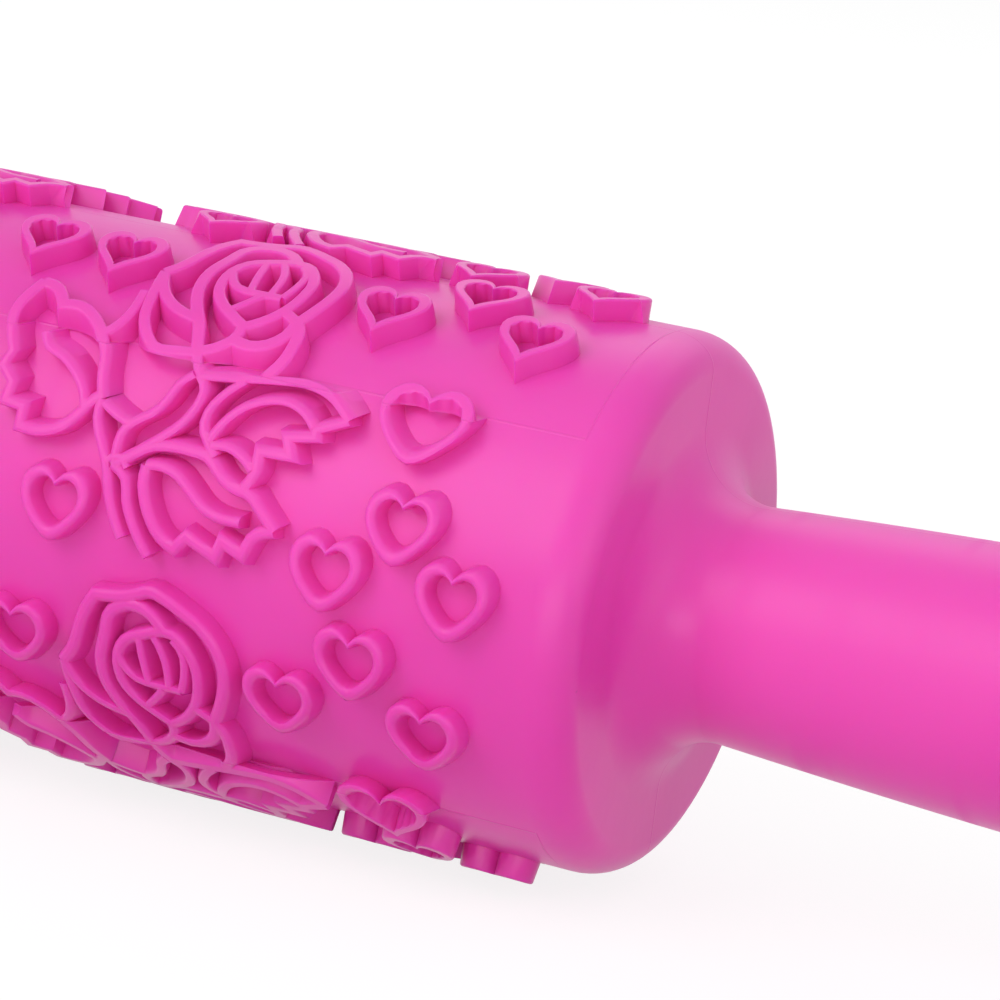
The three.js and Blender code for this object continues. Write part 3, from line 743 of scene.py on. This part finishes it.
def shown(name, points, faces, node):
    """A finished piece in metres: smooth but at sharp edges, riding on the body, for a CAD node.

    A triangle lies on a cylinder when its corners are within ON_SURFACE of the radius and the
    cosine of its lean from the radius is over UPRIGHT."""
    piece = add_mesh(name, points, faces, MM)
    mesh = piece.data
    mesh.shade_smooth()
    mesh.set_sharp_from_angle(angle=np.radians(SHARP_ANGLE))
    corner = np.empty(len(mesh.loops) * 3, dtype=np.float32)
    mesh.corner_normals.foreach_get("vector", corner)
    corner = corner.reshape(-1, 3, 3)
    spots = np.asarray(points)[faces]
    face_normal = np.cross(spots[:, 1] - spots[:, 0], spots[:, 2] - spots[:, 0])
    face_normal /= np.maximum(np.linalg.norm(face_normal, axis=1), 1e-12)[:, None]
    outward = spots * [0, 1, 1]
    radius = np.linalg.norm(outward, axis=2)
    outward = outward / np.maximum(radius, 1e-6)[..., None]
    along = (face_normal * outward.mean(axis=1)).sum(axis=1)
    straight = np.abs(spots[..., 0]).max(axis=1) < SHOULDER_X + 0.01
    on_barrel = (np.abs(radius - BARREL_RADIUS) < ON_SURFACE).all(axis=1) & straight
    on_top = (np.abs(radius - RELIEF_RADIUS) < ON_SURFACE).all(axis=1)
    exact = (on_barrel | on_top) & (along > UPRIGHT)
    corner[exact] = outward[exact]
    mesh.normals_split_custom_set(corner.reshape(-1, 3))
    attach(piece, "root")
    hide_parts(node)
    print(name, "has", len(faces), "triangles, of which", int(exact.sum()), "with exact normals")


shown("roller", roller_points, roller_faces, "roller_body")

# %% [markdown]
# ## The left handle and the plugs
# The left handle closes the barrel: it has the same shoulder and grip, and a spigot that goes into
# the bore. A small plug closes the hole in each tip, which is where the mould's core came out. All
# three are turned forms, with a small radius on each edge, because no moulding has a sharp one.

# %% Left handle and plugs
SPIGOT_RADIUS = 21.0
SPIGOT_WALL = 2.5
SPIGOT_X = SEAM_X - 10
RIM_X = SEAM_X + 0.3


def shown_turned(name, profile, side, node):
    """A shown piece whose mesh is a turned profile alone."""
    plain = turned("plain", profile, side)
    points, faces = triangles_of(plain.data)
    drop(plain)
    shown(name, points, faces, node)


left_profile = np.vstack([
    [(RIM_X, SPIGOT_RADIUS)],
    quarter((RIM_X, BARREL_RADIUS - EDGE), (RIM_X + EDGE, BARREL_RADIUS), False, 4),
    end_outline(), end_bore(),
    [(END_FACE_X - NECK_WALL, SPIGOT_RADIUS - SPIGOT_WALL), (SPIGOT_X, SPIGOT_RADIUS - SPIGOT_WALL)],
    [(SPIGOT_X, SPIGOT_RADIUS)],
])
shown_turned("left_grip", left_profile, -1, "left_handle")

HEAD_X = TIP_X - 1.8
HEAD_RADIUS = 5.2
SHANK_RADIUS = 4.0
SHANK_END_X = HEAD_X - 12
AXIS_GAP = 0.02
plug_profile = np.vstack([
    [(TIP_X, AXIS_GAP), (SHANK_END_X, AXIS_GAP), (SHANK_END_X, SHANK_RADIUS - 0.6)],
    [(SHANK_END_X + 1.2, SHANK_RADIUS), (HEAD_X, SHANK_RADIUS), (HEAD_X, HEAD_RADIUS - 0.2)],
    quarter((HEAD_X, HEAD_RADIUS - 0.3), (HEAD_X + 0.3, HEAD_RADIUS), False, 3),
    quarter((TIP_X - 0.4, HEAD_RADIUS), (TIP_X, HEAD_RADIUS - 0.4), True, 4),
    [(TIP_X, 2.6), (TIP_X - 0.35, 2.3)],
])
for side, name in ((1, "right_plug"), (-1, "left_plug")):
    shown_turned(name, plug_profile, side, name.replace("plug", "handle_plug"))

# %% [markdown]
# ## Helpers for shader nodes
# A pattern is a chain of small nodes: noise, a map from one range to another, arithmetic, a mix of
# two colours. One function for each kind keeps a pattern's formula readable in one line.

# %% Node helpers
def sockets(group, direction, *names):
    """Named inputs or outputs of a node group, for colours or numbers."""
    for name in names:
        kind = "NodeSocketColor" if "Colour" in name else "NodeSocketFloat"
        group.interface.new_socket(name=name, in_out=direction, socket_type=kind)


def noise(tree, vector, scale, detail, stretch=(1, 1, 1)):
    """Soft noise over the object's own coordinates, stretched along its axes."""
    place = tree.nodes.new("ShaderNodeMapping")
    place.inputs["Scale"].default_value = stretch
    tree.links.new(vector, place.inputs["Vector"])
    texture = tree.nodes.new("ShaderNodeTexNoise")
    texture.inputs["Scale"].default_value = scale
    texture.inputs["Detail"].default_value = detail
    tree.links.new(place.outputs["Vector"], texture.inputs["Vector"])
    return texture.outputs["Fac"]


def mapped(tree, value, low, high, to_low, to_high, smooth=True):
    """A value carried from one range to another, held at its ends."""
    node = tree.nodes.new("ShaderNodeMapRange")
    node.interpolation_type = "SMOOTHSTEP" if smooth else "LINEAR"
    for name, number in (("From Min", low), ("From Max", high), ("To Min", to_low), ("To Max", to_high)):
        node.inputs[name].default_value = number
    tree.links.new(value, node.inputs["Value"])
    return node.outputs["Result"]


def maths(tree, operation, first, second=None):
    """One step of arithmetic on values or numbers."""
    node = tree.nodes.new("ShaderNodeMath")
    node.operation = operation
    for place, part in enumerate(part for part in (first, second) if part is not None):
        if isinstance(part, (int, float)):
            node.inputs[place].default_value = part
        else:
            tree.links.new(part, node.inputs[place])
    return node.outputs["Value"]


def mixed(tree, share, first, second):
    """Two colours mixed by a share."""
    node = tree.nodes.new("ShaderNodeMix")
    node.data_type = "RGBA"
    tree.links.new(share, node.inputs[0])
    for place, colour in ((6, first), (7, second)):
        if isinstance(colour, tuple):
            node.inputs[place].default_value = colour
        else:
            tree.links.new(colour, node.inputs[place])
    return node.outputs[2]


print("Node helpers are ready")

# %% [markdown]
# ## The look of the plastic
# Dyed polyethylene or polypropylene isn't a painted surface: light goes a little way in, turns
# redder and comes out again, so thin ribs glow and deep corners turn a warm dark pink. That is
# subsurface scattering. The skin has a soft gloss that is a little uneven, faint streaks of dye,
# fine marks from handling and a few dark specks. These patterns are used on every piece, so they
# are in one node group, and each material gives it values of its own.

# %% The node group for a moulded skin
skin = bpy.data.node_groups.new("moulded skin", "ShaderNodeTree")
sockets(skin, "INPUT", "Colour", "Streak Colour", "Roughness")
sockets(skin, "OUTPUT", "Colour", "Roughness", "Height")
given = skin.nodes.new("NodeGroupInput")
taken = skin.nodes.new("NodeGroupOutput")
where = skin.nodes.new("ShaderNodeTexCoord").outputs["Object"]
SPECK_COLOUR = (0.16, 0.01, 0.07, 1)
cloud = noise(skin, where, scale=38, detail=1)
streak = noise(skin, where, scale=60, detail=2, stretch=(0.25, 1, 1))
fine = noise(skin, where, scale=900, detail=0)
scuff = noise(skin, where, scale=260, detail=2, stretch=(1, 0.15, 0.15))
speck = noise(skin, where, scale=520, detail=0)


def blend(first, first_share, second, second_share):
    """The sum of two patterns, each times its share."""
    return maths(skin, "ADD", maths(skin, "MULTIPLY", first, first_share),
                 maths(skin, "MULTIPLY", second, second_share))


dye = mapped(skin, blend(cloud, 0.6, streak, 0.4), 0.38, 0.66, 0, 1)
dyed = mixed(skin, dye, given.outputs["Colour"], given.outputs["Streak Colour"])
spots = mapped(skin, speck, 0.90, 0.93, 0, 0.75)
skin.links.new(mixed(skin, spots, dyed, SPECK_COLOUR), taken.inputs["Colour"])
cloudy = mapped(skin, cloud, 0.3, 0.7, -0.05, 0.05)
uneven = maths(skin, "ADD", cloudy, mapped(skin, scuff, 0.58, 0.78, 0, 0.10))
skin.links.new(maths(skin, "ADD", given.outputs["Roughness"], uneven), taken.inputs["Roughness"])
skin.links.new(blend(fine, 0.10, cloud, 0.9), taken.inputs["Height"])
print("The skin group has", len(skin.nodes), "nodes")

# %% [markdown]
# ## Mould lines
# Where two mould parts meet, a hair-thin raised line stays on the plastic. On this barrel they are
# the borders of the sliders, which are flat planes, so a line is wherever a coordinate comes close
# to a plane. The lines exist only on the barrel's own surface and round its shoulder. They are a
# bump and not geometry, because they stand up less than a tenth of a millimetre.

# %% The node group for mould lines
seams = bpy.data.node_groups.new("mould lines", "ShaderNodeTree")
sockets(seams, "OUTPUT", "Line")
seam_out = seams.nodes.new("NodeGroupOutput")
spot = seams.nodes.new("ShaderNodeTexCoord").outputs["Object"]
apart = seams.nodes.new("ShaderNodeSeparateXYZ")
seams.links.new(spot, apart.inputs["Vector"])
x_at, y_at, z_at = (apart.outputs[axis] for axis in "XYZ")
LINE_WIDTH = 0.13
LINE_FADE = 0.2
RIM_MARGIN = 0.1


def near_plane(value, place):
    """One where a value is at a place, falling to nothing LINE_WIDTH away."""
    gap = maths(seams, "ABSOLUTE", maths(seams, "SUBTRACT", value, place))
    return mapped(seams, gap, 0, LINE_WIDTH * MM, 1, 0)


beyond_sliders = mapped(seams, x_at, (SHOULDER_X - LINE_FADE) * MM, SHOULDER_X * MM, 0, 1)
on_sliders = maths(seams, "SUBTRACT", 1.0, beyond_sliders)
high = maths(seams, "GREATER_THAN", maths(seams, "ABSOLUTE", z_at), (HALF_Z - RIM_MARGIN) * MM)
rims = maths(seams, "MULTIPLY", near_plane(x_at, SHOULDER_X * MM), high)
sides = maths(seams, "MULTIPLY", near_plane(maths(seams, "ABSOLUTE", z_at), HALF_Z * MM), on_sliders)
middle = near_plane(y_at, 0)
line_all = maths(seams, "MAXIMUM", maths(seams, "MAXIMUM", rims, sides), middle)
seams.links.new(line_all, seam_out.inputs["Line"])
print("The mould line group has", len(seams.nodes), "nodes")

# %% [markdown]
# ## One plastic for each piece
# The shader stays in each material. Its subsurface colour is the base colour, and the red goes
# deepest, then blue, then green, which gives the warm glow of pink plastic against the light.

# %% Materials
PLASTIC = {
    "Subsurface Weight": 0.45, "Subsurface Radius": (1.0, 0.12, 0.55), "Subsurface Scale": 0.0022,
    "IOR": 1.5, "Specular IOR Level": 0.32,
}
SKIN_BUMP = {"Strength": 0.16, "Distance": 0.0006}
LINE_BUMP = {"Strength": 0.5, "Distance": 0.0001}


def bumped(tree, height, values, under=None):
    """The normals of a surface raised by a height, over the normals of a bump under it."""
    bump = tree.nodes.new("ShaderNodeBump")
    for name, value in values.items():
        bump.inputs[name].default_value = value
    tree.links.new(height, bump.inputs["Height"])
    if under:
        tree.links.new(under, bump.inputs["Normal"])
    return bump.outputs["Normal"]


def plastic(name, colour, streak_colour, roughness, with_lines):
    """Dyed plastic: scattering under a soft gloss, with the skin's patterns and bump."""
    material = bpy.data.materials.new(name)
    material.use_nodes = True
    tree = material.node_tree
    shader = tree.nodes["Principled BSDF"]
    pattern = tree.nodes.new("ShaderNodeGroup")
    pattern.node_tree = skin
    values = {"Colour": colour, "Streak Colour": streak_colour, "Roughness": roughness}
    for socket_name, value in values.items():
        pattern.inputs[socket_name].default_value = value
    tree.links.new(pattern.outputs["Colour"], shader.inputs["Base Color"])
    tree.links.new(pattern.outputs["Roughness"], shader.inputs["Roughness"])
    for socket_name, value in PLASTIC.items():
        shader.inputs[socket_name].default_value = value
    normal = bumped(tree, pattern.outputs["Height"], SKIN_BUMP)
    if with_lines:
        lines = tree.nodes.new("ShaderNodeGroup")
        lines.node_tree = seams
        normal = bumped(tree, lines.outputs["Line"], LINE_BUMP, normal)
    tree.links.new(normal, shader.inputs["Normal"])
    return material


PINK, PINK_STREAK = (0.79, 0.054, 0.440, 1), (0.85, 0.072, 0.480, 1)
PLUG, PLUG_STREAK = (0.76, 0.051, 0.420, 1), (0.82, 0.066, 0.460, 1)
barrel_pink = plastic("barrel pink", PINK, PINK_STREAK, 0.36, True)
handle_pink = plastic("handle pink", PINK, PINK_STREAK, 0.38, True)
plug_pink = plastic("plug pink", PLUG, PLUG_STREAK, 0.42, False)
finishes = {
    "roller": barrel_pink, "left_grip": handle_pink, "right_plug": plug_pink, "left_plug": plug_pink,
    "roller_body": barrel_pink, "left_handle": handle_pink,
    "right_handle_plug": plug_pink, "left_handle_plug": plug_pink,
}
for piece in bpy.data.objects:
    if piece.type == "MESH" and piece.name in finishes:
        piece.data.materials.clear()
        piece.data.materials.append(finishes[piece.name])
print("Materials:", [material.name for material in bpy.data.materials])

# %% [markdown]
# ## Floor, light and camera
# A product photograph like this has white all round it. The floor and the world are white to the
# camera and to reflections, while the lamps stay at a plain level, so the pink renders as it is
# written. The floor still takes the pin's shadow: it adds its own lit colour to the white.

# %% Floor and world
def seen_straight(tree):
    """One on rays from the camera, from reflections and through clear things, nothing on others."""
    rays = tree.nodes.new("ShaderNodeLightPath").outputs
    straight = maths(tree, "MAXIMUM", rays["Is Camera Ray"], rays["Is Glossy Ray"])
    return maths(tree, "MAXIMUM", straight, rays["Is Transmission Ray"])


FLOOR_Z = -(RELIEF_RADIUS + 0.03) * MM
FLOOR_REACH = 3
FLOOR_LIT, FLOOR_SEEN = (0.72, 0.70, 0.71, 1), (0.22, 0.22, 0.22, 1)
FLOOR_GLOW = 0.84
AIR_LIGHT = 0.59
turns = ((-1, -1), (1, -1), (1, 1), (-1, 1))
floor_corners = [(x * FLOOR_REACH, y * FLOOR_REACH, FLOOR_Z) for x, y in turns]
floor = add_mesh("floor", floor_corners, [[0, 1, 2, 3]])
paper = bpy.data.materials.new("white paper")
paper.use_nodes = True
tree = paper.node_tree
tree.nodes.clear()
straight = seen_straight(tree)
lit = tree.nodes.new("ShaderNodeBsdfDiffuse")
tree.links.new(mixed(tree, straight, FLOOR_LIT, FLOOR_SEEN), lit.inputs["Color"])
glow = tree.nodes.new("ShaderNodeEmission")
tree.links.new(maths(tree, "MULTIPLY", straight, FLOOR_GLOW), glow.inputs["Strength"])
both = tree.nodes.new("ShaderNodeAddShader")
tree.links.new(lit.outputs["BSDF"], both.inputs[0])
tree.links.new(glow.outputs["Emission"], both.inputs[1])
tree.links.new(both.outputs["Shader"], tree.nodes.new("ShaderNodeOutputMaterial").inputs["Surface"])
floor.data.materials.append(paper)

world = bpy.data.worlds.new("white studio")
bpy.context.scene.world = world
world.use_nodes = True
tree = world.node_tree
tree.nodes.clear()
straight = seen_straight(tree)
air = tree.nodes.new("ShaderNodeBackground")
air.inputs["Color"].default_value = (1, 1, 1, 1)
tree.links.new(mapped(tree, straight, 0, 1, AIR_LIGHT, 1.0, False), air.inputs["Strength"])
tree.links.new(air.outputs["Background"], tree.nodes.new("ShaderNodeOutputWorld").inputs["Surface"])
bpy.context.scene.view_settings.view_transform = "Standard"
print("The floor is at", floor.data.vertices[0].co.z)

# %% [markdown]
# ## Lamps
# The strongest lamp hangs at the upper left in front, so the ribs get lighter tops and soft
# shadows. A low one fills the front, and two weak ones give the right end and the back their shape.

# %% Lamps
VIEW_MIDDLE = Vector((0.03, 0, 0))


def softbox(name, place, size, watts):
    """A rectangular soft lamp that looks at the middle of the view."""
    lamp = bpy.data.lights.new(name, "AREA")
    lamp.shape = "RECTANGLE"
    lamp.size, lamp.size_y = size
    lamp.energy = watts
    holder = bpy.data.objects.new(name, lamp)
    holder.location = place
    holder.rotation_euler = (VIEW_MIDDLE - Vector(place)).to_track_quat("-Z", "Y").to_euler()
    bpy.context.scene.collection.objects.link(holder)


softbox("top left", (-0.35, -0.62, 0.58), (0.6, 0.6), 2.9)
softbox("right", (0.75, -0.30, 0.30), (0.3, 0.6), 0.5)
softbox("low front", (0.30, -0.85, 0.06), (0.7, 0.3), 2.0)
softbox("behind", (0.0, 0.6, 0.6), (0.8, 0.4), 1.0)

# %% [markdown]
# ## Camera
# The camera is worked out from the photo's outlines: it looks at a point on the barrel from the
# front, a little from the right and from above, and is rolled so that the pin runs downhill.
# The matrix holds its axes as columns: to the right, up, and back from the view.

# %% Camera
AZIMUTH, ELEVATION, ROLL = np.radians([23.6642, 13.1936, -6.9256])
DISTANCE = 353.70
TARGET = np.array([END_FACE_X - 19.259, 0, 6.431])
back = np.cos(ELEVATION) * np.array([np.sin(AZIMUTH), -np.cos(AZIMUTH), np.tan(ELEVATION)])
level = np.cross(-back, [0, 0, 1])
level /= np.linalg.norm(level)
down = np.cross(-back, level)
right = np.cos(ROLL) * level + np.sin(ROLL) * down
lower = np.cos(ROLL) * down - np.sin(ROLL) * level
camera = bpy.data.objects.new("camera", bpy.data.cameras.new("camera"))
camera.data.sensor_width = 36
camera.data.lens = 137.5
place = (TARGET + DISTANCE * back) * MM
axes = np.column_stack([right, -lower, back, place])
camera.matrix_world = Matrix([*axes.tolist(), [0, 0, 0, 1]])
bpy.context.scene.collection.objects.link(camera)
bpy.context.scene.camera = camera
print("The camera is at", np.round(place, 3))
